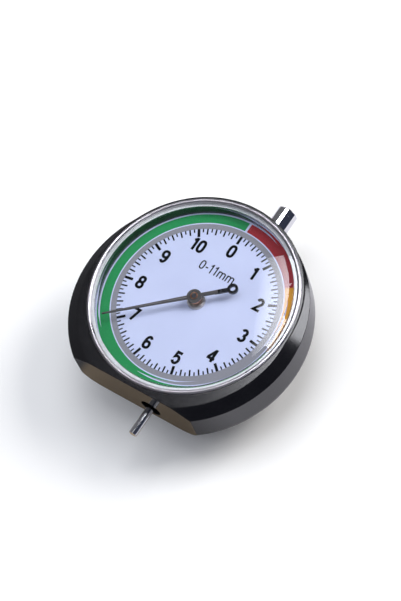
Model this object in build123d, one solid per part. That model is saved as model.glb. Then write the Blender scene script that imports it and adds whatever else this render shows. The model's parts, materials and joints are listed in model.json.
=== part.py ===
from build123d import *
import math
import os

# Dial tyre tread depth gauge, 0 to 11 mm, one turn of the pointer for the whole travel.
# Millimetres. The origin is on the back rest face, under the centre of the dial.
# +X points to 3 o'clock, +Y to 12 o'clock (the plunger side), +Z to the reader.

# Reading
TRAVEL = 11.0
READING = 7.03
TO_ZERO = READING
TO_FULL = TRAVEL - READING
POINTER_TURN = 360.0 * READING / TRAVEL

# Levels above the back rest face
TOTAL_DEPTH = 23.0
DIAL_Z = 18.8
DIAL_THICK = 0.4
FRONT_Z = 22.4
WALL_TOP_Z = 20.4
DECK_BOTTOM_Z = 16.6
REAR_LIP_TOP_Z = 13.5
REAR_Z = 11.1

# Case outline: a circle a little below the dial centre, cut by the measuring flat
CASE_R = 26.9
CASE_Y = -2.95
FRONT_R = 24.4
FLAT_Y = -24.8
REAR_ROUND = 3.0
EDGE_ROUND = 0.3
WALL = 2.2
FLOOR_OPENING_R = 19.2
BEZEL_SEAT_R = 24.3
SEAT_LOW_Z = 16.3
SEAT_BEVEL = 1.2

# Spindle: plunger rod with its rack, and the probe pin pressed into its end
ROD_X = 3.6
ROD_Z = 14.6
ROD_R = 2.4
ROD_TOP_Y = 29.85
ROD_FIT = 0.09
SHOULDER_Y = FLAT_Y + 1.0 + TO_FULL
PROBE_R = 0.95
PROBE_GRIP = 4.0
GUIDE_R = 3.6
GUIDE_END_Y = 9.5
GUIDE_TOP_Y = 20.8
STOP_PIN_R = 0.5
STOP_PIN_Y = -1.55

# Rack and pinion: eleven teeth, one millimetre apart, so one turn is the travel
TEETH = 11
PITCH = TRAVEL / TEETH
PITCH_R = TRAVEL / (2.0 * math.pi)
PRESSURE = math.radians(20.0)
RACK_ADDENDUM = 0.2
RACK_DEDENDUM = 0.4
PINION_ADDENDUM = 0.3
PINION_DEDENDUM = 0.28
HALF_TOOTH = 0.23
PINION_Z = (13.0, 16.2)

# Movement
ARBOR_R = 0.54
ARBOR_FIT = 0.06
ARBOR_Z = (8.7, 21.72)
FRONT_PLATE_R = 13.5
FRONT_PLATE_Z = 17.6
REAR_PLATE_SIZE = (18.8, 14.8)
REAR_PLATE_CORNER = 3.4
REAR_PLATE_Z = (10.5, 11.3)
PILLAR_X = 7.9
PILLAR_Y = 5.0
PILLAR_R = 1.0
PLATE_HOLE_R = 0.6
MOVEMENT_OPENING_R = 10.8
MOVEMENT_SCREW_R = 12.2
MOVEMENT_SCREW_ANGLES = (30.0, 150.0, 250.0)
FRONT_BUSH_R = 1.6
REAR_BUSH_R = 1.5
HAIRSPRING_Z = (9.4, 9.9)
HAIRSPRING_TURNS = 5.0
HAIRSPRING_RADII = (1.2, 5.0)
HAIRSPRING_THICK = 0.12
STUD_R = 0.4
LEAF_Z = (13.3, 15.9)
LEAF_THICK = 0.2
LEAF_GAP = 0.05

# Front: dial, spacer, seal, crystal and bezel
BORE_R = 23.5
DIAL_R = 23.4
DIAL_HOLE_R = 1.75
SIGHT_R = 22.05
FLANGE_R = 23.0
SPACER_STEP_Z = 20.2
GASKET_Z = (21.2, 21.5)
FLANGE_TOP_Z = 22.3
CRYSTAL_PLATE = 0.95
CRYSTAL_TOP_R = 21.2
CRYSTAL_SIDE_R = 22.15
CRYSTAL_SIDE_Z = 22.72
CRYSTAL_RECESS_R = 22.0
BEZEL_R = 23.85
BEZEL_FOOT = 0.15
BEZEL_RISE = 0.4

# Pointer
POINTER_Z = (21.1, 21.45)
POINTER_TIP_R = 20.7
POINTER_TAIL_R = 5.3
POINTER_DISC_R = 1.65
HUB_NECK_R = 0.85
WEIGHT_R = 8.6
WEIGHT_EYE = (1.2, 0.6)

# Back cover
COVER_TOP_R = 20.6
COVER_BACK_R = 17.4
COVER_WALL = 1.6
COVER_SCREW_R = 13.6
COVER_SCREW_ANGLES = (-20.0, 100.0, 220.0)
COVER_HEAD_Z = 6.5

BIG = 80.0


def turned(profile, y=0.0):
    """A solid of revolution about a vertical axis, from (radius, height) points."""
    face = Face(Wire.make_polygon([(r, 0, z) for r, z in profile], close=True))
    return Pos(0, y, 0) * revolve(face, axis=Axis.Z)


def disc(radius, low, high, x=0.0, y=0.0):
    """An upright cylinder between two levels."""
    return Pos(x, y, (low + high) / 2) * Cylinder(radius, high - low)


def tube(outer, inner, low, high, x=0.0, y=0.0):
    """An upright ring between two levels."""
    return disc(outer, low, high, x, y) - disc(inner, low - 1, high + 1, x, y)


def along_y(radius, start, end):
    """A cylinder on the spindle's axis between two places along Y."""
    return Pos(ROD_X, (start + end) / 2, ROD_Z) * Rot(90, 0, 0) * Cylinder(radius, end - start)


def block(x, y, z):
    """A box from (low, high) pairs."""
    size = [high - low for low, high in (x, y, z)]
    middle = [(low + high) / 2 for low, high in (x, y, z)]
    return Pos(*middle) * Box(*size)


def around(radius, angles, y=0.0):
    """Places on a circle, as (x, y) pairs."""
    turns = [math.radians(a) for a in angles]
    return [(radius * math.cos(t), y + radius * math.sin(t)) for t in turns]


def circles(solid, radius, level):
    """The circular edges of one radius at one level."""
    found = solid.edges().filter_by(GeomType.CIRCLE)
    return [e for e in found if abs(e.radius - radius) < 0.01 and abs(e.center().Z - level) < 0.01]


MOVEMENT_SCREWS = around(MOVEMENT_SCREW_R, MOVEMENT_SCREW_ANGLES)
COVER_SCREWS = around(COVER_SCREW_R, COVER_SCREW_ANGLES, CASE_Y)
PILLARS = [(sx * PILLAR_X, sy * PILLAR_Y) for sx in (-1, 1) for sy in (-1, 1)]


def case_outside():
    """The outer form: bevelled front, upright wall, rounded rear edge, one flat side.

    The bezel's seat stands a little proud of the wall at the top.
    """
    outline = [(0, REAR_Z), (CASE_R, REAR_Z), (CASE_R, WALL_TOP_Z), (FRONT_R, FRONT_Z), (0, FRONT_Z)]
    form = turned(outline, CASE_Y)
    form = fillet(circles(form, CASE_R, REAR_Z), REAR_ROUND)
    form = fillet(circles(form, FRONT_R, FRONT_Z), EDGE_ROUND)
    form = form & block((-BIG, BIG), (FLAT_Y, BIG), (0, BIG))
    seat = disc(BEZEL_SEAT_R, SEAT_LOW_Z, FRONT_Z)
    seat = chamfer(circles(seat, BEZEL_SEAT_R, SEAT_LOW_Z), SEAT_BEVEL)
    return form + seat


def housing():
    """Front shell with a deck behind the dial and long guide bores for the spindle."""
    inside = block((-BIG, BIG), (FLAT_Y + WALL, BIG), (0, BIG))
    shell = case_outside()
    shell -= disc(BORE_R, DIAL_Z - DIAL_THICK, FRONT_Z + 1)
    shell -= disc(FRONT_PLATE_R + 0.1, FRONT_PLATE_Z, DIAL_Z)
    shell -= disc(MOVEMENT_OPENING_R, DECK_BOTTOM_Z - 1, DIAL_Z)
    shell -= disc(CASE_R - WALL, REAR_LIP_TOP_Z, DECK_BOTTOM_Z, y=CASE_Y) & inside
    shell -= disc(FLOOR_OPENING_R, REAR_Z - 1, REAR_LIP_TOP_Z + 1, y=CASE_Y)
    guides = along_y(GUIDE_R, FLAT_Y + 1, -GUIDE_END_Y) + along_y(GUIDE_R, GUIDE_END_Y, GUIDE_TOP_Y)
    shell += guides & block((-BIG, BIG), (-BIG, BIG), (REAR_Z, FRONT_PLATE_Z))
    for x, y in COVER_SCREWS:
        shell += disc(2.0, REAR_Z, DECK_BOTTOM_Z + 0.5, x, y)
        shell -= disc(0.98, REAR_Z - 1, 15.5, x, y)
    for x, y in MOVEMENT_SCREWS:
        shell += disc(1.4, 12.6, DECK_BOTTOM_Z + 0.5, x, y)
        shell -= disc(0.62, 13.0, DIAL_Z, x, y)
    return shell - along_y(ROD_R + ROD_FIT, -BIG, BIG)


def back_cover():
    """Tapered cup that closes the rear, with three deep screw posts."""
    outline = [
        (0, 0),
        (COVER_BACK_R, 0),
        (COVER_TOP_R, REAR_Z),
        (COVER_TOP_R - COVER_WALL, REAR_Z),
        (COVER_BACK_R - COVER_WALL, COVER_WALL),
        (0, COVER_WALL),
    ]
    cup = turned(outline, CASE_Y)
    cup = fillet(circles(cup, COVER_BACK_R, 0), 1.2)
    for x, y in COVER_SCREWS:
        cup += disc(2.8, COVER_WALL - 0.2, REAR_Z, x, y)
        cup -= disc(2.15, -1, COVER_HEAD_Z, x, y)
        cup -= disc(1.1, 0, REAR_Z + 1, x, y)
    return cup


def cross_slot(width, length, low, high, x, y):
    """A plus-shaped driver recess."""
    bar = block((x - length / 2, x + length / 2), (y - width / 2, y + width / 2), (low, high))
    return bar + block((x - width / 2, x + width / 2), (y - length / 2, y + length / 2), (low, high))


def cover_screws():
    """Pan head screws, set deep in the back cover."""
    head_low = COVER_HEAD_Z - 1.3
    screws = []
    for x, y in COVER_SCREWS:
        head = disc(1.9, head_low, COVER_HEAD_Z, x, y)
        head = chamfer(circles(head, 1.9, head_low), 0.4)
        screw = head + disc(0.95, COVER_HEAD_Z - 0.2, 15.0, x, y)
        screws.append(screw - cross_slot(0.45, 2.2, head_low - 1, head_low + 0.6, x, y))
    return Compound(children=screws)


def movement_screws():
    """Countersunk screws that hold the front plate down on the deck."""
    screws = []
    for x, y in MOVEMENT_SCREWS:
        screw = disc(0.6, 13.4, FRONT_PLATE_Z + 0.3, x, y) + countersink(x, y, 0.0)
        screws.append(screw - cross_slot(0.25, 1.4, DIAL_Z - DIAL_THICK - 0.3, DIAL_Z, x, y))
    return Compound(children=screws)


def countersink(x, y, ease):
    """The cone of a countersunk head, with its top level with the front plate's."""
    top = DIAL_Z - DIAL_THICK
    height = top - FRONT_PLATE_Z - 0.1
    return Pos(x, y, top - height / 2) * Cone(0.6 + ease, 1.3 + ease, height)


def front_plate():
    """Round brass plate in the deck, under the dial."""
    top = DIAL_Z - DIAL_THICK
    plate = tube(FRONT_PLATE_R, FRONT_BUSH_R, FRONT_PLATE_Z, top)
    for x, y in MOVEMENT_SCREWS:
        plate -= countersink(x, y, 0.04) + disc(0.66, FRONT_PLATE_Z - 1, top + 1, x, y)
    for x, y in PILLARS:
        plate -= disc(PLATE_HOLE_R, FRONT_PLATE_Z - 1, top + 1, x, y)
    return plate


def rear_plate():
    """Brass plate that carries the arbor's rear bearing and the stop pin's slot."""
    low, high = REAR_PLATE_Z
    outline = RectangleRounded(*REAR_PLATE_SIZE, REAR_PLATE_CORNER)
    plate = Pos(0, 0, low) * extrude(outline, high - low)
    plate -= disc(REAR_BUSH_R, low - 1, high + 1)
    plate -= disc(STUD_R, low - 1, high + 1, -HAIRSPRING_RADII[1] - STUD_R, 0)
    for x, y in PILLARS:
        plate -= disc(PLATE_HOLE_R, low - 1, high + 1, x, y)
    half_width = STOP_PIN_R + 0.06
    ends = (STOP_PIN_Y - TO_FULL - 0.06, STOP_PIN_Y + TO_ZERO + 0.06)
    slot = block((ROD_X - half_width, ROD_X + half_width), ends, (low - 1, high + 1))
    for y in ends:
        slot += disc(half_width, low - 1, high + 1, ROD_X, y)
    return plate - slot


def plate_pillars():
    """Four turned pillars, riveted into the front plate and tapped at the rear."""
    low, high = REAR_PLATE_Z[1], FRONT_PLATE_Z
    top = DIAL_Z - DIAL_THICK
    pillars = []
    for x, y in PILLARS:
        pillar = disc(PILLAR_R, low, high, x, y) + disc(PLATE_HOLE_R, high - 0.2, top, x, y)
        pillars.append(pillar - disc(0.52, low - 1, low + 2.4, x, y))
    return Compound(children=pillars)


def plate_screws():
    """Cheese head screws that hold the rear plate on the pillars."""
    low = REAR_PLATE_Z[0]
    screws = []
    for x, y in PILLARS:
        head = disc(0.95, low - 0.6, low, x, y)
        slot = block((x - 1.2, x + 1.2), (y - 0.12, y + 0.12), (low - 1, low - 0.3))
        screws.append(head + disc(0.5, low - 0.2, low + 2.6, x, y) - slot)
    return Compound(children=screws)


def front_bearing():
    """Bush pressed in the front plate, with a head that shows on the dial."""
    outline = [
        (ARBOR_R + ARBOR_FIT, DECK_BOTTOM_Z + 0.3),
        (FRONT_BUSH_R, DECK_BOTTOM_Z + 0.3),
        (FRONT_BUSH_R, DIAL_Z),
        (2.05, DIAL_Z),
        (2.05, DIAL_Z + 0.6),
        (1.75, DIAL_Z + 0.9),
        (ARBOR_R + ARBOR_FIT, DIAL_Z + 0.9),
    ]
    return turned(outline)


def rear_bearing():
    """Flanged bush pressed in the rear plate."""
    low, high = REAR_PLATE_Z
    bush = disc(REAR_BUSH_R, low, high) + disc(1.9, high, high + 0.4)
    return bush - disc(ARBOR_R + ARBOR_FIT, low - 1, high + 1)


def arbor():
    """Pointer arbor, turned steel."""
    low, high = ARBOR_Z
    shaft = disc(ARBOR_R, low, high)
    return chamfer(circles(shaft, ARBOR_R, low) + circles(shaft, ARBOR_R, high), 0.1)


def involute(angle):
    return math.tan(angle) - angle


def pinion():
    """Eleven involute teeth. One tooth stands in a rack space on the +X side."""
    base_r = PITCH_R * math.cos(PRESSURE)
    tip_r = PITCH_R + PINION_ADDENDUM
    root_r = PITCH_R - PINION_DEDENDUM
    half_at_pitch = HALF_TOOTH / PITCH_R
    flank = [(root_r, half_at_pitch + involute(PRESSURE))]
    steps = 4
    for i in range(steps + 1):
        radius = base_r + (tip_r - base_r) * i / steps
        slope = math.acos(base_r / radius)
        flank.append((radius, half_at_pitch + involute(PRESSURE) - involute(slope)))
    outline = []
    for tooth in range(TEETH):
        centre = 2.0 * math.pi * tooth / TEETH
        outline += [(r * math.cos(centre - a), r * math.sin(centre - a)) for r, a in flank]
        outline += [(r * math.cos(centre + a), r * math.sin(centre + a)) for r, a in reversed(flank)]
    low, high = PINION_Z
    gear = Pos(0, 0, low) * extrude(Face(Wire.make_polygon(outline, close=True)), high - low)
    return gear - disc(ARBOR_R, low - 1, high + 1)


def hairspring():
    """Flat spiral that takes up the play between rack and pinion."""
    inner, outer = HAIRSPRING_RADII
    sweep = 2.0 * math.pi * HAIRSPRING_TURNS
    points = int(12 * HAIRSPRING_TURNS)
    sides = []
    for offset in (-HAIRSPRING_THICK / 2, HAIRSPRING_THICK / 2):
        side = []
        for i in range(points + 1):
            share = i / points
            radius = inner + HAIRSPRING_THICK / 2 + (outer - inner - HAIRSPRING_THICK) * share + offset
            turn = math.pi + sweep * (share - 1)
            side.append((radius * math.cos(turn), radius * math.sin(turn)))
        sides.append(side)
    edges = [Edge.make_spline([Vector(x, y) for x, y in side]) for side in sides]
    ends = [Edge.make_line(edges[0] @ t, edges[1] @ t) for t in (0, 1)]
    low, high = HAIRSPRING_Z
    return Pos(0, 0, low) * extrude(Face(Wire(edges + ends)), high - low)


def hairspring_collet():
    """Split ring on the arbor that holds the spiral's inner end."""
    low, high = HAIRSPRING_Z
    ring = tube(HAIRSPRING_RADII[0] - 0.1, ARBOR_R, low - 0.1, high + 0.2)
    return ring - block((0, 2), (-0.12, 0.12), (low - 1, high + 1))


def hairspring_stud():
    """Post in the rear plate that holds the spiral's outer end."""
    return disc(STUD_R, HAIRSPRING_Z[0] - 0.2, REAR_PLATE_Z[1], -HAIRSPRING_RADII[1] - STUD_R, 0)


def sector(centre, mid_r, start, end):
    """An upright strip along an arc, angles in degrees, counter-clockwise from +X."""
    low, high = LEAF_Z
    ring = tube(mid_r + LEAF_THICK / 2, mid_r - LEAF_THICK / 2, low, high)
    reach = 2.0 * mid_r
    middle = math.radians((start + end) / 2)
    half = math.radians((end - start) / 2)
    corners = [(0, 0)]
    for turn, far in ((middle - half, 1.0), (middle - half / 2, 1.3), (middle, 1.3)):
        corners.append((reach * far * math.cos(turn), reach * far * math.sin(turn)))
    for turn, far in ((middle + half / 2, 1.3), (middle + half, 1.0)):
        corners.append((reach * far * math.cos(turn), reach * far * math.sin(turn)))
    wedge = Pos(0, 0, low) * extrude(Face(Wire.make_polygon(corners, close=True)), high - low)
    return Pos(centre[0], centre[1], 0) * (ring & wedge)


def friction_spring():
    """Bowed leaf, hooked round two pillars, whose crown presses on the rod."""
    hook_r = PILLAR_R + 0.05 + LEAF_THICK / 2
    crown_x = ROD_X + ROD_R + LEAF_GAP + LEAF_THICK / 2
    run = PILLAR_X - crown_x
    leaf_r = (run**2 + PILLAR_Y**2 - hook_r**2) / (2 * (run - hook_r))
    centre_x = crown_x + leaf_r
    reach = math.degrees(math.atan2(PILLAR_Y, centre_x - PILLAR_X))
    leaf = sector((centre_x, 0), leaf_r, 180 - reach, 180 + reach)
    leaf += sector((PILLAR_X, PILLAR_Y), hook_r, 20, 181 - reach)
    leaf += sector((PILLAR_X, -PILLAR_Y), hook_r, 179 + reach, 340)
    return leaf


def dial_plate():
    """Printed metal dial."""
    return tube(DIAL_R, DIAL_HOLE_R, DIAL_Z - DIAL_THICK, DIAL_Z)


def spacer_ring():
    """Dark wall between dial and crystal, which also clamps the dial."""
    outline = [
        (SIGHT_R, DIAL_Z),
        (DIAL_R, DIAL_Z),
        (DIAL_R, SPACER_STEP_Z),
        (FLANGE_R, SPACER_STEP_Z),
        (FLANGE_R, GASKET_Z[0]),
        (SIGHT_R, GASKET_Z[0]),
    ]
    return turned(outline)


def crystal():
    """Clear raised window with a shallow bevel round its top and a seating flange."""
    outline = [
        (0, TOTAL_DEPTH - CRYSTAL_PLATE),
        (CRYSTAL_RECESS_R, TOTAL_DEPTH - CRYSTAL_PLATE),
        (CRYSTAL_RECESS_R, GASKET_Z[1]),
        (FLANGE_R, GASKET_Z[1]),
        (FLANGE_R, FLANGE_TOP_Z),
        (CRYSTAL_SIDE_R, FLANGE_TOP_Z),
        (CRYSTAL_SIDE_R, CRYSTAL_SIDE_Z),
        (CRYSTAL_TOP_R, TOTAL_DEPTH),
        (0, TOTAL_DEPTH),
    ]
    return turned(outline)


def bezel_ring():
    """Plated ring with a domed top, pressed in over the crystal's flange."""
    inner = FLANGE_R - 0.1
    skirt_inner, skirt_outer = FLANGE_R + 0.05, BORE_R - 0.05
    skirt_low = SPACER_STEP_Z + 0.1
    foot, top = FRONT_Z + BEZEL_FOOT, FRONT_Z + BEZEL_RISE
    corners = [
        (inner, foot),
        (inner, FLANGE_TOP_Z),
        (skirt_inner, FLANGE_TOP_Z),
        (skirt_inner, skirt_low),
        (skirt_outer, skirt_low),
        (skirt_outer, FRONT_Z),
        (BEZEL_R, FRONT_Z),
        (BEZEL_R, foot),
    ]
    points = [(r, 0, z) for r, z in corners]
    lines = [Edge.make_line(a, b) for a, b in zip(points, points[1:])]
    dome = Edge.make_three_point_arc(points[-1], ((inner + BEZEL_R) / 2, 0, top), points[0])
    return revolve(Face(Wire(lines + [dome])), axis=Axis.Z)


def pointer():
    """Slim tapered blade on a round boss, with a short tail."""
    low, high = POINTER_Z
    blade = Polyline((0, 0.45), (POINTER_TIP_R, 0.15), (POINTER_TIP_R, -0.15), (0, -0.45), close=True)
    tail = Polyline((0, 0.42), (-POINTER_TAIL_R, 0.42), (-POINTER_TAIL_R, -0.42), (0, -0.42), close=True)
    hand = extrude(make_face(blade), high - low) + extrude(make_face(tail), high - low)
    hand = Pos(0, 0, low) * hand + disc(POINTER_DISC_R, low, high)
    hand -= disc(HUB_NECK_R, low - 1, high + 1)
    return Rot(0, 0, 90 - POINTER_TURN) * hand


def pointer_counterweight():
    """Blackened eye, lapped under the end of the tail, that balances the blade."""
    low, high = POINTER_Z
    eye = tube(*WEIGHT_EYE, low - 0.2, high + 0.1, -WEIGHT_R)
    neck = block((-WEIGHT_R + 1.1, -POINTER_TAIL_R), (-0.45, 0.45), (low - 0.2, high))
    lap = block((-POINTER_TAIL_R - 0.1, -POINTER_TAIL_R + 0.8), (-0.42, 0.42), (low - 0.2, low))
    return Rot(0, 0, 90 - POINTER_TURN) * (eye + neck + lap)


def pointer_hub():
    """Brass collar under the pointer, with a neck riveted over its boss."""
    low, high = POINTER_Z
    hub = disc(1.3, DIAL_Z + 1.2, low) + disc(HUB_NECK_R, low - 0.2, high + 0.15)
    return hub - disc(ARBOR_R, DIAL_Z, TOTAL_DEPTH)


def plunger_rod():
    """Chromed rod: plunger above the case, rack on its left flank, socket for the probe."""
    rod = along_y(ROD_R, SHOULDER_Y, ROD_TOP_Y)
    ends = [e for e in rod.edges().filter_by(GeomType.CIRCLE)]
    rod = chamfer(ends, 0.3)
    first = -math.ceil(TO_ZERO + PINION_ADDENDUM + 1)
    last = math.ceil(TO_FULL + PINION_ADDENDUM + 1)
    tip_x = PITCH_R - RACK_ADDENDUM
    root_x = PITCH_R + RACK_DEDENDUM
    rod -= block((-BIG, tip_x), (first - 0.9, last + 0.9), (0, BIG))
    slope = math.tan(PRESSURE)
    mouth = PITCH / 2 - HALF_TOOTH + (RACK_ADDENDUM + 0.1) * slope
    floor = PITCH / 2 - HALF_TOOTH - RACK_DEDENDUM * slope
    outline = [(tip_x - 0.1, -mouth), (root_x, -floor), (root_x, floor), (tip_x - 0.1, mouth)]
    space = extrude(Face(Wire.make_polygon(outline, close=True)), 2 * ROD_R + 1)
    for k in range(first, last + 1):
        rod -= Pos(0, k * PITCH, ROD_Z - ROD_R - 0.5) * space
    rod -= along_y(PROBE_R, SHOULDER_Y - 1, SHOULDER_Y + PROBE_GRIP)
    return rod - disc(STOP_PIN_R, 0, ROD_Z + 1.3, ROD_X, STOP_PIN_Y)


def probe_pin():
    """Straight steel pin. Its tip is level with the flat at zero."""
    pin = along_y(PROBE_R, FLAT_Y - READING, SHOULDER_Y + PROBE_GRIP)
    tip = [e for e in pin.edges().filter_by(GeomType.CIRCLE) if e.center().Y < FLAT_Y]
    return chamfer(tip, 0.12)


def stop_pin():
    """Cross pin in the rod, whose slot sets both ends of the travel."""
    return disc(STOP_PIN_R, REAR_PLATE_Z[0] + 0.15, ROD_Z + 1.3, ROD_X, STOP_PIN_Y)


def crystal_gasket():
    """Thin seal under the crystal's flange."""
    return tube(FLANGE_R, SIGHT_R + 0.05, *GASKET_Z)


NODES = {
    "housing": housing,
    "back_cover": back_cover,
    "cover_screws": cover_screws,
    "bezel_ring": bezel_ring,
    "crystal": crystal,
    "crystal_gasket": crystal_gasket,
    "spacer_ring": spacer_ring,
    "dial_plate": dial_plate,
    "front_plate": front_plate,
    "rear_plate": rear_plate,
    "plate_pillars": plate_pillars,
    "plate_screws": plate_screws,
    "movement_screws": movement_screws,
    "front_bearing": front_bearing,
    "rear_bearing": rear_bearing,
    "friction_spring": friction_spring,
    "hairspring": hairspring,
    "hairspring_stud": hairspring_stud,
    "hairspring_collet": hairspring_collet,
    "arbor": arbor,
    "pinion": pinion,
    "pointer_hub": pointer_hub,
    "pointer": pointer,
    "pointer_counterweight": pointer_counterweight,
    "plunger_rod": plunger_rod,
    "probe_pin": probe_pin,
    "stop_pin": stop_pin,
}

os.makedirs("parts", exist_ok=True)
for node, make in NODES.items():
    export_step(make(), f"parts/{node}.step")
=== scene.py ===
import json
import math

import bmesh
import bpy
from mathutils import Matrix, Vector


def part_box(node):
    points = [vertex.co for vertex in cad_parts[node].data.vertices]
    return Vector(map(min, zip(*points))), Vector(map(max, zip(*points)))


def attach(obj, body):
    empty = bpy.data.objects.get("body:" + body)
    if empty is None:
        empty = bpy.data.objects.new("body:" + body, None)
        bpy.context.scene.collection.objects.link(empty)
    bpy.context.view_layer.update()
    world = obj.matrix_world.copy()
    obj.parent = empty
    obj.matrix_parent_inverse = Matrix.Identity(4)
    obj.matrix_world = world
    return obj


# Looks of a dial tread depth gauge. Metres, in the CAD frame: the origin is on the back
# rest face, +X points to 3 o'clock, +Y to 12 o'clock and +Z to the reader.

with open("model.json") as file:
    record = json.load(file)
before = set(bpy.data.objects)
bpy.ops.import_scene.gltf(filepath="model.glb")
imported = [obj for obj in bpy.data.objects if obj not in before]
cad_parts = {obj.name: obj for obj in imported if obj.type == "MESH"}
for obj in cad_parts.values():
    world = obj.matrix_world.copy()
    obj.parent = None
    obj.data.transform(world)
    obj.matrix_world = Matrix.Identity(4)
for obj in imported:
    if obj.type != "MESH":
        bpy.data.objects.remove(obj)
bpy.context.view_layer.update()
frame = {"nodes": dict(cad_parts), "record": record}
nodes = frame["nodes"]

MM = 0.001

# Heights and radii that follow the CAD
DIAL_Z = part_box("dial_plate")[1].z
POINTER_TOP_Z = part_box("pointer")[1].z
READING = 7.03
FULL_SCALE = 11
TENTHS = 10

# Printed scale, radii in metres
TICK_OUTER_R = 18.0 * MM
MAJOR_INNER_R = 16.0 * MM
EVEN_INNER_R = 16.55 * MM
ODD_INNER_R = 17.15 * MM
MAJOR_WIDTH = 0.62 * MM
EVEN_WIDTH = 0.36 * MM
ODD_WIDTH = 0.30 * MM
GREY_RING_R = (18.0 * MM, 19.26 * MM)
BAND_R = (19.53 * MM, 21.69 * MM)
BAND_GAP = math.radians(0.75)
RED_UP_TO = 1.6
AMBER_UP_TO = 3.0
NUMERAL_R = 13.95 * MM
NUMERAL_HEIGHT = 3.15 * MM
NUMERAL_WEIGHT = 0.205
RANGE_MARK_Y = 8.2 * MM
RANGE_MARK_HEIGHT = 2.3 * MM
RANGE_MARK_WEIGHT = 0.125
INK = 0.025 * MM
RING_STEPS = 240
ARC_STEP_DEGREES = 1.5
MITRE_LIMIT = 0.5

# Ridge along the pointer, as (distance from the middle, half width) at its two ends
CREASE_ENDS = ((1.6 * MM, 0.11 * MM), (20.0 * MM, 0.05 * MM))
CREASE_SUNK = 0.01 * MM
CREASE_RISE = 0.05 * MM


# ---------------------------------------------------------------- materials

# Phase that Blender's wave texture gains over one unit at a scale of 1
WAVE_RADIANS = 20

# Sockets of a Mix node set to colours, which share their names with its other sockets
MIX_FACTOR, MIX_FIRST, MIX_SECOND = 0, 6, 7
MIX_RESULT = 2


class Look:
    """A node material round one Principled shader, in object coordinates."""

    def __init__(self, name):
        self.material = bpy.data.materials.new(name)
        self.material.use_nodes = True
        self.tree = self.material.node_tree
        self.shader = self.tree.nodes["Principled BSDF"]
        self.output = self.tree.nodes["Material Output"]
        self.place = self.node("ShaderNodeTexCoord").outputs["Object"]

    def put(self, socket, value):
        """Links a socket to another, or sets its value."""
        if isinstance(value, bpy.types.NodeSocket):
            self.tree.links.new(value, socket)
        else:
            socket.default_value = value

    def node(self, kind, inputs=(), **settings):
        made = self.tree.nodes.new(kind)
        for key, value in settings.items():
            setattr(made, key, value)
        for key, value in dict(inputs).items():
            self.put(made.inputs[key], value)
        return made

    def surface(self, **values):
        """Sets the shader's sockets, with underscores for the spaces in their names."""
        for key, value in values.items():
            self.put(self.shader.inputs[key.replace("_", " ")], value)

    def stretched(self, x, y, z):
        """Object coordinates scaled along each axis."""
        inputs = {"Vector": self.place, "Scale": (x, y, z)}
        return self.node("ShaderNodeMapping", inputs).outputs["Vector"]

    def noise(self, size, detail=3.0, place=None):
        """Noise whose features are about size metres across."""
        inputs = {"Vector": place or self.place, "Scale": 1.0 / size, "Detail": detail}
        return self.node("ShaderNodeTexNoise", inputs).outputs["Fac"]

    def spread(self, value, low, high, start=0.3, end=0.7):
        """value from start to end, drawn out between low and high."""
        inputs = {"Value": value, "From Min": start, "From Max": end, "To Min": low, "To Max": high}
        return self.node("ShaderNodeMapRange", inputs).outputs["Result"]

    def colours(self, value, *stops):
        """A colour ramp from (place, colour) pairs."""
        ramp = self.node("ShaderNodeValToRGB", {"Fac": value})
        elements = ramp.color_ramp.elements
        elements[0].position, elements[1].position = stops[0][0], stops[-1][0]
        elements[0].color, elements[1].color = (*stops[0][1], 1), (*stops[-1][1], 1)
        for at, colour in stops[1:-1]:
            elements.new(at).color = (*colour, 1)
        return ramp.outputs["Color"]

    def rings(self, spacing):
        """Turning marks: rings about the arbor's axis, 2 pi times spacing apart."""
        inputs = {
            "Vector": self.place,
            "Scale": 1.0 / spacing / WAVE_RADIANS,
            "Distortion": 0.6,
            "Detail": 2.0,
            "Detail Scale": 1.5,
        }
        wave = self.node("ShaderNodeTexWave", inputs, wave_type="RINGS", rings_direction="Z")
        return wave.outputs["Fac"]

    def relief(self, height, depth, strength=1.0, normal=None):
        """A bump from height, depth metres deep."""
        inputs = {"Height": height, "Distance": depth, "Strength": strength}
        if normal is not None:
            inputs["Normal"] = normal
        return self.node("ShaderNodeBump", inputs).outputs["Normal"]

    def soft_edges(self, radius):
        """Normals that turn a sharp edge into a small round one."""
        return self.node("ShaderNodeBevel", {"Radius": radius}, samples=6).outputs["Normal"]

    def wear(self, radius):
        """About 1 along edges and 0 elsewhere, broken up by noise: the mask of a painted highlight along the
        edges.
        """
        flat = self.node("ShaderNodeNewGeometry").outputs["Normal"]
        normals = {0: self.soft_edges(radius), 1: flat}
        agree = self.node("ShaderNodeVectorMath", normals, operation="DOT_PRODUCT").outputs["Value"]
        edge = self.spread(agree, 1.0, 0.0, 0.80, 0.99)
        patches = self.spread(self.noise(0.9 * MM, 5.0), 0.0, 1.0, 0.42, 0.62)
        both = self.node("ShaderNodeMath", {0: edge, 1: patches}, operation="MULTIPLY")
        return both.outputs["Value"]


def black_plastic():
    """Satin moulded black with a fine grain and a faint painted highlight along the edges."""
    look = Look("black_plastic")
    cloud = look.noise(6 * MM, 4.0)
    painted_highlight = look.wear(0.25 * MM)
    base = look.colours(cloud, (0.3, (0.0040, 0.0040, 0.0052)), (0.7, (0.0065, 0.0065, 0.0080)))
    share = look.spread(painted_highlight, 0.0, 0.35, 0.0, 1.0)
    # painted highlight: the edges are mixed towards a paler grey
    inputs = {MIX_FACTOR: share, MIX_FIRST: base, MIX_SECOND: (0.09, 0.088, 0.086, 1)}
    mixed = look.node("ShaderNodeMix", inputs, data_type="RGBA")
    grain = look.noise(0.12 * MM, 3.0)
    coarse = look.noise(0.9 * MM, 2.0)
    fine = look.relief(grain, 0.006 * MM, 0.5, look.soft_edges(0.22 * MM))
    look.surface(Base_Color=mixed.outputs[MIX_RESULT], Roughness=look.spread(coarse, 0.13, 0.17),
                 Normal=look.relief(coarse, 0.004 * MM, 0.4, fine))
    return look.material


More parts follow.
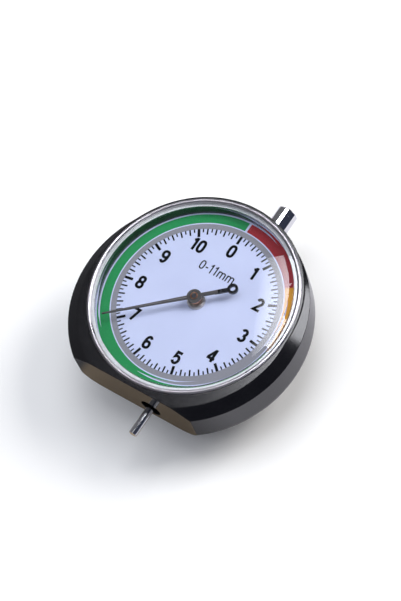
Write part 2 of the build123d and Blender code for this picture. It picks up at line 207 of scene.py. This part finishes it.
def plated_metal(name, colour, rough, scratch=0.5):
    """Bright plate with hairline scratches and soft smudges."""
    look = Look(name)
    smudge = look.noise(3.5 * MM, 4.0)
    lines = look.noise(0.5 * MM, 4.0, look.stretched(9.0, 0.7, 9.0))
    low = [0.9 * c for c in colour]
    look.surface(Base_Color=look.colours(smudge, (0.3, low), (0.7, colour)), Metallic=1.0,
                 Roughness=look.spread(smudge, rough * 0.7, rough * 1.4),
                 Normal=look.relief(lines, 0.0012 * MM, scratch))
    return look.material


def turned_metal(name, colour, rough, spacing=0.09 * MM):
    """Machined metal with fine rings from the lathe."""
    look = Look(name)
    rings = look.rings(spacing)
    stain = look.noise(1.6 * MM, 4.0)
    dark = [0.72 * c for c in colour]
    look.surface(Base_Color=look.colours(stain, (0.32, dark), (0.68, colour)), Metallic=1.0,
                 Roughness=look.spread(stain, rough * 0.8, rough * 1.3),
                 Normal=look.relief(rings, 0.004 * MM, 0.5))
    return look.material


def clear_plastic():
    """Polished clear window. Rays from lamps pass straight through to the dial."""
    look = Look("clear_plastic")
    haze = look.noise(2.2 * MM, 5.0)
    look.surface(Base_Color=(0.985, 0.99, 1.0, 1), IOR=1.49, Transmission_Weight=1.0,
                 Roughness=look.spread(haze, 0.0, 0.015, 0.45, 0.8),
                 Normal=look.relief(look.noise(5 * MM, 1.0), 0.002 * MM, 0.3))
    lamp_ray = look.node("ShaderNodeLightPath").outputs["Is Shadow Ray"]
    through = look.node("ShaderNodeBsdfTransparent", {"Color": (0.97, 0.975, 0.98, 1)})
    inputs = {0: lamp_ray, 1: look.shader.outputs["BSDF"], 2: through.outputs["BSDF"]}
    mix = look.node("ShaderNodeMixShader", inputs)
    look.put(look.output.inputs["Surface"], mix.outputs["Shader"])
    return look.material


def seal_look():
    """Pale, slightly waxy nylon."""
    look = Look("seal")
    cloud = look.noise(0.8 * MM, 3.0)
    look.surface(Base_Color=look.colours(cloud, (0.3, (0.62, 0.63, 0.66)), (0.7, (0.74, 0.75, 0.78))),
                 Roughness=look.spread(cloud, 0.4, 0.55),
                 Subsurface_Weight=0.1, Subsurface_Radius=(1 * MM, 1 * MM, 1 * MM),
                 Normal=look.relief(look.noise(0.15 * MM), 0.004 * MM, 0.4))
    return look.material


def gloss_black(name, rough):
    """Gloss black with a slight orange peel."""
    look = Look(name)
    peel = look.noise(0.5 * MM, 2.0)
    cloud = look.noise(2.5 * MM, 3.0)
    look.surface(Base_Color=look.colours(cloud, (0.3, (0.006, 0.006, 0.007)), (0.7, (0.012, 0.012, 0.014))),
                 Roughness=look.spread(cloud, rough * 0.7, rough * 1.5), Coat_Weight=0.4, Coat_Roughness=0.05,
                 Normal=look.relief(peel, 0.003 * MM, 0.4))
    return look.material


def dial_lacquer():
    """Cool white lacquer on a metal sheet, with a barely seen fleck."""
    look = Look("dial_print")
    fleck = look.noise(0.25 * MM, 4.0)
    cloud = look.noise(7 * MM, 2.0)
    tone = look.node("ShaderNodeMath", {0: fleck, 1: 0.25, 2: cloud}, operation="MULTIPLY_ADD")
    tint = look.colours(tone.outputs["Value"], (0.35, (0.56, 0.615, 0.86)), (0.9, (0.61, 0.67, 0.92)))
    look.surface(Base_Color=tint, Roughness=look.spread(cloud, 0.42, 0.5), Specular_IOR_Level=0.15,
                 Normal=look.relief(fleck, 0.002 * MM, 0.35))
    return look.material


def ink(name, colour, speckle=0.12, gloss=0.25):
    """Screen-printed ink: a little uneven, with fine pinholes of paler tone."""
    look = Look(name)
    mesh_marks = look.noise(0.16 * MM, 4.0)
    pale = [c + speckle * (0.7 - c) * 0.5 for c in colour]
    deep = [c * 0.86 for c in colour]
    look.surface(Base_Color=look.colours(mesh_marks, (0.3, deep), (0.55, colour), (0.82, pale)),
                 Roughness=look.spread(look.noise(1.5 * MM), 0.42, 0.55), Specular_IOR_Level=gloss,
                 Normal=look.relief(mesh_marks, 0.002 * MM, 0.4))
    return look.material


def lacquered(name, colour, rough):
    """Sprayed lacquer on thin metal."""
    look = Look(name)
    grain = look.noise(0.2 * MM, 3.0)
    cloud = look.noise(1.8 * MM, 3.0)
    dark = [0.8 * c for c in colour]
    look.surface(Base_Color=look.colours(cloud, (0.3, dark), (0.7, colour)), Metallic=0.35,
                 Roughness=look.spread(cloud, rough * 0.85, rough * 1.2),
                 Normal=look.relief(grain, 0.003 * MM, 0.5))
    return look.material


MATERIALS = {
    "black_plastic": black_plastic(),
    "plated_ring": plated_metal("plated_ring", (0.52, 0.50, 0.53), 0.36),
    "clear_plastic": clear_plastic(),
    "seal": seal_look(),
    "dark_plastic": gloss_black("dark_plastic", 0.12),
    "dial_print": dial_lacquer(),
    "brass": turned_metal("brass", (0.62, 0.42, 0.20), 0.3),
    "nickel": turned_metal("nickel", (0.82, 0.77, 0.72), 0.48),
    "bronze": plated_metal("bronze", (0.55, 0.30, 0.14), 0.25),
    "steel": turned_metal("steel", (0.48, 0.48, 0.50), 0.3),
    "spring_steel": plated_metal("spring_steel", (0.25, 0.27, 0.33), 0.3),
    "pointer_paint": lacquered("pointer_paint", (0.11, 0.105, 0.105), 0.4),
    "black_paint": gloss_black("black_paint", 0.22),
    "chrome_plate": plated_metal("chrome_plate", (0.78, 0.78, 0.80), 0.07, 0.3),
}

for part in frame["record"]["subparts"]:
    mesh = nodes[part["node"]].data
    mesh.materials.clear()
    mesh.materials.append(MATERIALS[part["material_slot"]])

COPPER = turned_metal("hub_copper", (0.90, 0.52, 0.34), 0.5, 0.07 * MM)
nodes["pointer_hub"].data.materials[0] = COPPER

INK_BLACK = ink("ink_black", (0.002, 0.002, 0.003), 0.0, 0.1)
INK_GREY = ink("ink_grey", (0.26, 0.265, 0.31))
INK_RED = ink("ink_red", (0.36, 0.022, 0.032))
INK_AMBER = ink("ink_amber", (0.80, 0.36, 0.03))
INK_GREEN = ink("ink_green", (0.016, 0.28, 0.085), 0.05)


# ---------------------------------------------------------------- shapes

def piece(name, mesh, material, body):
    """Links a mesh as a piece that rides on a body."""
    obj = bpy.data.objects.new(name, mesh)
    bpy.context.scene.collection.objects.link(obj)
    mesh.materials.append(material)
    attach(obj, body)


def on_dial(radius, clockwise, z=DIAL_Z):
    """A point on the dial, by radius and angle in radians clockwise from 12 o'clock."""
    return Vector((radius * math.sin(clockwise), radius * math.cos(clockwise), z))


def prism(shape, outline):
    """Adds a printed mark over a flat outline of points to a bmesh."""
    bottom = [shape.verts.new((p.x, p.y, DIAL_Z)) for p in outline]
    top = [shape.verts.new((p.x, p.y, DIAL_Z + INK)) for p in outline]
    shape.faces.new(list(reversed(bottom)))
    shape.faces.new(top)
    count = len(outline)
    for i in range(count):
        j = (i + 1) % count
        shape.faces.new((bottom[i], bottom[j], top[j], top[i]))


def finished(shape, name):
    bmesh.ops.recalc_face_normals(shape, faces=shape.faces)
    mesh = bpy.data.meshes.new(name)
    shape.to_mesh(mesh)
    shape.free()
    return mesh


def cells(shape, columns):
    """Joins each column of four corners to the next."""
    for a, b in zip(columns, columns[1:]):
        for k in range(4):
            shape.faces.new((a[k], a[(k + 1) % 4], b[(k + 1) % 4], b[k]))


def close_ends(shape, columns):
    shape.faces.new(columns[0])
    shape.faces.new(list(reversed(columns[-1])))


def ring_column(shape, radii, turn):
    """The four corners of a printed ring's section, at one angle."""
    inner, outer = radii
    low, high = DIAL_Z, DIAL_Z + INK
    corners = [(inner, low), (outer, low), (outer, high), (inner, high)]
    return [shape.verts.new(on_dial(r, turn, z)) for r, z in corners]


def arc_strip(shape, radii, start, end):
    """A closed printed strip along an arc."""
    steps = max(2, int(math.degrees(end - start) / ARC_STEP_DEGREES))
    turns = [start + (end - start) * i / steps for i in range(steps + 1)]
    columns = [ring_column(shape, radii, turn) for turn in turns]
    cells(shape, columns)
    close_ends(shape, columns)


def closed_ring(shape, radii):
    turns = [2 * math.pi * i / RING_STEPS for i in range(RING_STEPS)]
    columns = [ring_column(shape, radii, turn) for turn in turns]
    cells(shape, columns + columns[:1])


def scale_angle(reading):
    return 2 * math.pi * reading / FULL_SCALE


def graduations():
    """Eleven long marks, with long and short tenths between them."""
    shape = bmesh.new()
    for tenth in range(FULL_SCALE * TENTHS):
        if tenth % TENTHS == 0:
            inner, width = MAJOR_INNER_R, MAJOR_WIDTH
        elif tenth % 2 == 0:
            inner, width = EVEN_INNER_R, EVEN_WIDTH
        else:
            inner, width = ODD_INNER_R, ODD_WIDTH
        turn = scale_angle(tenth / TENTHS)
        across = Vector((math.cos(turn), -math.sin(turn), 0)) * (width / 2)
        near, far = on_dial(inner, turn), on_dial(TICK_OUTER_R, turn)
        prism(shape, [near - across, near + across, far + across, far - across])
    piece("dial_graduations", finished(shape, "dial_graduations"), INK_BLACK, "case")


def printed_rings():
    shape = bmesh.new()
    closed_ring(shape, GREY_RING_R)
    piece("dial_grey_ring", finished(shape, "dial_grey_ring"), INK_GREY, "case")
    bands = (
        ("red", 0, RED_UP_TO, INK_RED),
        ("amber", RED_UP_TO, AMBER_UP_TO, INK_AMBER),
        ("green", AMBER_UP_TO, FULL_SCALE, INK_GREEN),
    )
    for name, start, end, material in bands:
        shape = bmesh.new()
        first = scale_angle(start) + (BAND_GAP if name != "amber" else 0)
        last = scale_angle(end) - (BAND_GAP if name != "red" else 0)
        arc_strip(shape, BAND_R, first, last)
        piece("dial_band_" + name, finished(shape, "dial_band_" + name), material, "case")


def ribbon(shape, path, half, loop=False):
    """A printed stroke of even width along a path of points, with mitred corners."""
    count = len(path)
    columns = []
    for i, spot in enumerate(path):
        before = path[i - 1] if loop or i > 0 else spot
        after = path[(i + 1) % count] if loop or i < count - 1 else spot
        runs = [run.normalized() for run in (spot - before, after - spot) if run.length > 0]
        along = sum(runs, Vector((0, 0))).normalized()
        mitre = half / max(MITRE_LIMIT, along.dot(runs[0]))
        side = Vector((-along.y, along.x)) * mitre
        left, right = spot + side, spot - side
        low, high = DIAL_Z, DIAL_Z + INK
        corners = [(left, low), (right, low), (right, high), (left, high)]
        columns.append([shape.verts.new((p.x, p.y, z)) for p, z in corners])
    if loop:
        cells(shape, columns + columns[:1])
    else:
        cells(shape, columns)
        close_ends(shape, columns)


def bow(centre, radii, start, end, steps=14, square=2.0):
    """Points along part of an oval, angles in degrees. A higher square makes it boxier."""
    spots = []
    for i in range(steps + 1):
        turn = math.radians(start + (end - start) * i / steps)
        c, s = math.cos(turn), math.sin(turn)
        x = math.copysign(abs(c) ** (2 / square), c)
        y = math.copysign(abs(s) ** (2 / square), s)
        spots.append((centre[0] + radii[0] * x, centre[1] + radii[1] * y))
    return spots


def oval(centre, radii, square=2.4):
    return bow(centre, radii, 0, 360, 28, square)[:-1]


def turned_over(strokes):
    return [([(-x, -y) for x, y in path], loop) for path, loop in strokes]


FIVE_TOP = [(0.22, 0.42), (-0.15, 0.42), (-0.19, 0.04)]

# Strokes of each character in a box one unit high, as (path, closed) pairs
SIX = [
    (oval((0, -0.19), (0.21, 0.235)), True),
    ([(-0.21, -0.19)] + bow((0.0, 0.02), (0.21, 0.40), 180, 42), False),
]
STROKES = {
    "0": [(oval((0, 0), (0.21, 0.42), 2.7), True)],
    "1": [([(0.05, 0.5), (0.05, -0.5)], False), ([(0.02, 0.40), (-0.16, 0.24)], False)],
    "2": [(bow((0, 0.2), (0.21, 0.22), 165, -25) + [(-0.20, -0.42), (0.27, -0.42)], False)],
    "3": [
        (bow((-0.01, 0.21), (0.19, 0.21), 158, -90), False),
        (bow((-0.01, -0.205), (0.22, 0.215), 90, -158), False),
    ],
    "4": [
        ([(0.12, -0.5), (0.12, 0.5)], False),
        ([(0.09, 0.40), (-0.22, -0.20)], False),
        ([(-0.31, -0.24), (0.29, -0.24)], False),
    ],
    "5": [(FIVE_TOP + bow((-0.01, -0.14), (0.22, 0.28), 132, -155), False)],
    "6": SIX,
    "7": [([(-0.25, 0.42), (0.20, 0.42), (-0.05, -0.5)], False)],
    "8": [(oval((0, 0.215), (0.185, 0.205)), True), (oval((0, -0.205), (0.215, 0.215)), True)],
    "9": turned_over(SIX),
    "-": [([(-0.15, -0.08), (0.15, -0.08)], False)],
    "m": [
        ([(-0.36, -0.5), (-0.36, 0.19)], False),
        (bow((-0.18, -0.02), (0.18, 0.17), 172, 0) + [(0.0, -0.5)], False),
        (bow((0.18, -0.02), (0.18, 0.17), 172, 0) + [(0.36, -0.5)], False),
    ],
}
ADVANCE = {"1": 0.50, "-": 0.48, "m": 0.98}
PLAIN_ADVANCE = 0.62


def lettering(name, text, height, place, weight):
    """Upright printed characters, centred on a place. weight is the stroke's share of the height."""
    shape = bmesh.new()
    steps = [ADVANCE.get(sign, PLAIN_ADVANCE) * height for sign in text]
    x = place[0] - sum(steps) / 2
    for sign, step in zip(text, steps):
        for path, loop in STROKES[sign]:
            spots = [Vector((x + step / 2 + px * height, place[1] + py * height)) for px, py in path]
            ribbon(shape, spots, weight * height / 2, loop)
        x += step
    piece(name, finished(shape, name), INK_BLACK, "case")


def numerals():
    for number in range(FULL_SCALE):
        place = on_dial(NUMERAL_R, scale_angle(number))
        lettering(f"dial_numeral_{number}", str(number), NUMERAL_HEIGHT, place, NUMERAL_WEIGHT)
    lettering("dial_range_mark", "0-11mm", RANGE_MARK_HEIGHT, (0, RANGE_MARK_Y), RANGE_MARK_WEIGHT)


def pointer_crease():
    """A low ridge pressed along the middle of the pointer's blade, painted paler than the blade as a painted
    highlight.
    """
    turn = scale_angle(READING)
    along = Vector((math.sin(turn), math.cos(turn), 0))
    across = Vector((math.cos(turn), -math.sin(turn), 0))
    foot, crest = POINTER_TOP_Z - CREASE_SUNK, POINTER_TOP_Z + CREASE_RISE
    shape = bmesh.new()
    rows = []
    for reach, half in CREASE_ENDS:
        centre = along * reach
        spots = [centre - across * half, centre + across * half]
        row = [shape.verts.new((p.x, p.y, foot)) for p in spots]
        row.append(shape.verts.new((centre.x, centre.y, crest)))
        rows.append(row)
    a, b = rows
    for k in range(3):
        shape.faces.new((a[k], a[(k + 1) % 3], b[(k + 1) % 3], b[k]))
    shape.faces.new(a)
    shape.faces.new(list(reversed(b)))
    # painted highlight: the ridge gets a paler copy of the pointer's paint
    light = lacquered("pointer_crease_painted_highlight", (0.30, 0.29, 0.30), 0.3)
    piece("pointer_crease", finished(shape, "pointer_crease"), light, "pointer")


graduations()
printed_rings()
numerals()
pointer_crease()


# ---------------------------------------------------------------- studio

# Lamps, as (name, place, width, power, colour), all turned to the case
LAMPS = [
    ("key", (0.44, 0.505, 0.617), 0.4, 5.9, (1.0, 0.98, 0.95)),
    ("fill", (-0.35, -0.35, 0.85), 0.9, 3.8, (0.92, 0.95, 1.0)),
    ("top", (0.0, 0.2, 0.9), 0.5, 3.8, (0.95, 0.97, 1.0)),
]
LAMP_TARGET = (0, 0, 0.015)

# Reflected panels by their corners. The overhead one fades in from the edge at its first corner.
SOFTBOX_CORNERS = [
    (-0.263, 0.220, 0.6),
    (0.030, 0.431, 0.6),
    (0.165, 0.115, 0.6),
    (-0.223, 0.148, 0.6),
]
SOFTBOX_GLOW = 14.0
SOFTBOX_FADE = (0.89, 0.45, 0)
SOFTBOX_EDGE = 17 * MM
RIM_CORNERS = [(0.28, 0.70, 0.19), (0.62, 0.42, 0.37), (0.62, 0.42, 0.63), (0.28, 0.70, 0.43)]
RIM_GLOW = 11.0
LOW_CORNERS = [(0.2, -0.75, 0.06), (0.78, -0.07, 0.06), (0.78, -0.07, 0.3), (0.2, -0.75, 0.3)]
LOW_GLOW = 0.9

# Sheet seen only in reflections round the case, a painted reflection of the floor: warm by the flat, dark
# round that and pale further out
SHEET_HALF = 65 * MM
SHEET_LIFT = 0.02 * MM
WARM_SPOT = (-5 * MM, -28.5 * MM, 0)
WARM_R = 17 * MM
PALE_R = 37 * MM
FLOOR_WIDTH = 6.0

# The room's tone on the left and on the right, and how far right the second one starts
ROOM_LEFT = (0.16, 0.16, 0.175, 1)
ROOM_RIGHT = (0.036, 0.042, 0.068, 1)
ROOM_SPLIT = 0.25

CAMERA_PLACE = (219.16 * MM, -145.47 * MM, 470.77 * MM)
CAMERA_DEGREES = (27.857, 12.160, 34.508)
LENS = 143.8
SENSOR = 36.0
NEAR_CLIP = 0.01


def board(name, corners, material):
    """A flat studio piece between four corners."""
    mesh = bpy.data.meshes.new(name)
    mesh.from_pydata(corners, [], [(0, 1, 2, 3)])
    obj = bpy.data.objects.new(name, mesh)
    bpy.context.scene.collection.objects.link(obj)
    mesh.materials.append(material)
    return obj


def square_corners(half):
    return [(-half, -half, 0), (half, -half, 0), (half, half, 0), (-half, half, 0)]


def only_reflections(obj):
    """Leaves a piece of the studio to glossy rays alone."""
    obj.visible_camera = False
    obj.visible_diffuse = False
    obj.visible_transmission = False
    obj.visible_shadow = False


def floor():
    look = Look("floor_paper")
    cloud = look.noise(0.25, 2.0)
    tint = look.colours(cloud, (0.3, (0.95, 0.95, 0.95)), (0.7, (0.97, 0.97, 0.97)))
    look.surface(Base_Color=tint, Roughness=0.9, Specular_IOR_Level=0.1)
    paper = board("floor", square_corners(FLOOR_WIDTH / 2), look.material)
    paper.visible_glossy = False


def sheet():
    """Small sheet that stands in for the floor in reflections, with a painted reflection: warm by the flat,
    dark round that, pale beyond.
    """
    look = Look("painted_floor_reflection")
    inputs = {0: look.place, 1: WARM_SPOT}
    away = look.node("ShaderNodeVectorMath", inputs, operation="DISTANCE").outputs["Value"]
    outward = look.spread(away, 0.0, 1.0, WARM_R, PALE_R)
    # painted reflection: warm and dark tones that the floor shows only in reflections
    warm, dark, pale = (0.56, 0.44, 0.31), (0.17, 0.165, 0.17), (0.80, 0.79, 0.84)
    tint = look.colours(outward, (0.0, warm), (0.1, dark), (0.85, pale))
    rough = look.spread(look.noise(0.05), 0.85, 0.95)
    look.surface(Base_Color=tint, Roughness=rough, Specular_IOR_Level=0.1)
    paper = board("sheet", square_corners(SHEET_HALF), look.material)
    paper.location.z = SHEET_LIFT
    only_reflections(paper)


def glowing(name, corners, strength):
    """A lit cloth panel between four corners, seen only in reflections."""
    look = Look(name)
    weave = look.noise(0.04, 2.0)
    tint = look.colours(weave, (0.3, (0.92, 0.93, 1.0)), (0.7, (0.96, 0.97, 1.0)))
    look.surface(Base_Color=(0.0, 0.0, 0.0, 1), Emission_Color=tint, Emission_Strength=strength(look))
    only_reflections(board(name, corners, look.material))


def softboxes():
    """One overhead that the window and the chrome mirror, and two beside the case."""
    edge = Vector(SOFTBOX_FADE).dot(Vector(SOFTBOX_CORNERS[0]))

    def fading(look):
        inputs = {0: look.place, 1: SOFTBOX_FADE}
        inward = look.node("ShaderNodeVectorMath", inputs, operation="DOT_PRODUCT").outputs["Value"]
        return look.spread(inward, 0.0, SOFTBOX_GLOW, edge, edge + SOFTBOX_EDGE)

    glowing("softbox", SOFTBOX_CORNERS, fading)
    for name, corners, glow in ("rim_softbox", RIM_CORNERS, RIM_GLOW), ("low_panel", LOW_CORNERS, LOW_GLOW):
        glowing(name, corners, lambda look: look.spread(look.noise(0.1), 0.9 * glow, glow))


def lamp(name, place, width, power, colour):
    """A square lamp that lights the dial straight through the window and isn't mirrored."""
    light = bpy.data.lights.new(name, "AREA")
    light.shape = "SQUARE"
    light.size = width
    light.energy = power
    light.color = colour
    obj = bpy.data.objects.new(name, light)
    bpy.context.scene.collection.objects.link(obj)
    obj.location = place
    obj.rotation_euler = (Vector(LAMP_TARGET) - Vector(place)).to_track_quat("-Z", "Y").to_euler()
    obj.visible_transmission = False
    obj.visible_glossy = False


def surroundings():
    """A dim room: dark blue beyond the key lamp and grey on the other side."""
    world = bpy.data.worlds.new("studio")
    world.use_nodes = True
    tree = world.node_tree
    background = tree.nodes["Background"]
    place = tree.nodes.new("ShaderNodeTexCoord")
    split = tree.nodes.new("ShaderNodeSeparateXYZ")
    ramp = tree.nodes.new("ShaderNodeValToRGB")
    tree.links.new(place.outputs["Generated"], split.inputs["Vector"])
    tree.links.new(split.outputs["X"], ramp.inputs["Fac"])
    tree.links.new(ramp.outputs["Color"], background.inputs["Color"])
    left, right = ramp.color_ramp.elements
    left.color = ROOM_LEFT
    right.color = ROOM_RIGHT
    right.position = ROOM_SPLIT
    world.cycles_visibility.transmission = False
    bpy.context.scene.world = world


def studio():
    floor()
    sheet()
    softboxes()
    surroundings()
    for row in LAMPS:
        lamp(*row)
    bpy.context.scene.view_settings.view_transform = "Standard"


def camera():
    lens = bpy.data.cameras.new("camera")
    lens.sensor_fit = "VERTICAL"
    lens.sensor_height = SENSOR
    lens.lens = LENS
    lens.clip_start = NEAR_CLIP
    obj = bpy.data.objects.new("camera", lens)
    bpy.context.scene.collection.objects.link(obj)
    obj.location = CAMERA_PLACE
    obj.rotation_euler = [math.radians(a) for a in CAMERA_DEGREES]
    bpy.context.scene.camera = obj


studio()
camera()
